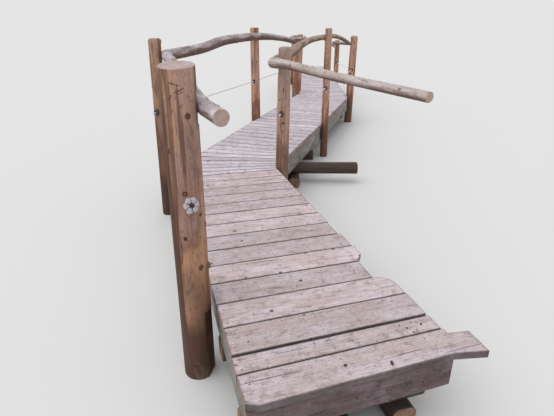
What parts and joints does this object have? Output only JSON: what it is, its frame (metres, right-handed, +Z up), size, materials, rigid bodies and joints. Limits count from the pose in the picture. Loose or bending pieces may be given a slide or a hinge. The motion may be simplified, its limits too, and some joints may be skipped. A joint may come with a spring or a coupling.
{
  "type": "wooden footbridge",
  "caption": "A low plank footbridge whose straight sections meet at bends, on stringers and log cribs, with round log posts, natural log handrails and taut rope mid-rails",
  "frame": {"origin": "on the ground under the deck's middle line at the near end's left corner", "axes": "+Y runs on along the bridge, +X is to the right of someone who walks it, +Z is up"},
  "size_m": [2.5472, 11.1117, 1.62],
  "materials": {
    "deck_boards": "rough-sawn softwood boards, weathered pale",
    "headers": "rough-sawn softwood board on edge",
    "stringers": "weathered grey-green sawn timber",
    "crib_logs": "dark damp logs with hewn faces",
    "post_logs": "peeled log, orange-brown with dark streaks and knots",
    "rail_logs": "peeled pole, pale grey above and brown below",
    "rope": "laid white rope"
  },
  "bodies": {
    "root": {"deck_near": "deck_boards", "deck_first_bend": "deck_boards", "deck_middle": "deck_boards", "deck_second_bend": "deck_boards", "deck_far": "deck_boards", "header_near": "headers", "header_far": "headers", "stringer_near_left": "stringers", "stringer_near_middle": "stringers", "stringer_near_right": "stringers", "stringer_middle_left": "stringers", "stringer_middle_middle": "stringers", "stringer_middle_right": "stringers", "stringer_far_left": "stringers", "stringer_far_middle": "stringers", "stringer_far_right": "stringers", "crib_near_ground_logs": "crib_logs", "crib_near_cross_logs": "crib_logs", "crib_first_bend_ground_logs": "crib_logs", "crib_first_bend_cross_logs": "crib_logs", "crib_second_bend_ground_logs": "crib_logs", "crib_second_bend_cross_logs": "crib_logs", "crib_far_ground_logs": "crib_logs", "crib_far_cross_logs": "crib_logs", "post_near_left": "post_logs", "post_first_bend_left": "post_logs", "post_first_bend_right": "post_logs", "post_middle_left": "post_logs", "post_middle_right": "post_logs", "post_second_bend_left": "post_logs", "post_second_bend_right": "post_logs", "post_far_near_left": "post_logs", "post_far_middle_left": "post_logs", "post_far_middle_right": "post_logs", "post_far_end_left": "post_logs", "post_far_end_right": "post_logs", "rail_near_left": "rail_logs", "rail_middle_left": "rail_logs", "rail_far_left": "rail_logs", "rail_near_right": "rail_logs", "rail_middle_right": "rail_logs", "rail_far_right": "rail_logs", "rail_end_right": "rail_logs", "rope_left": "rope", "rope_right": "rope"}
  },
  "joints": []
}
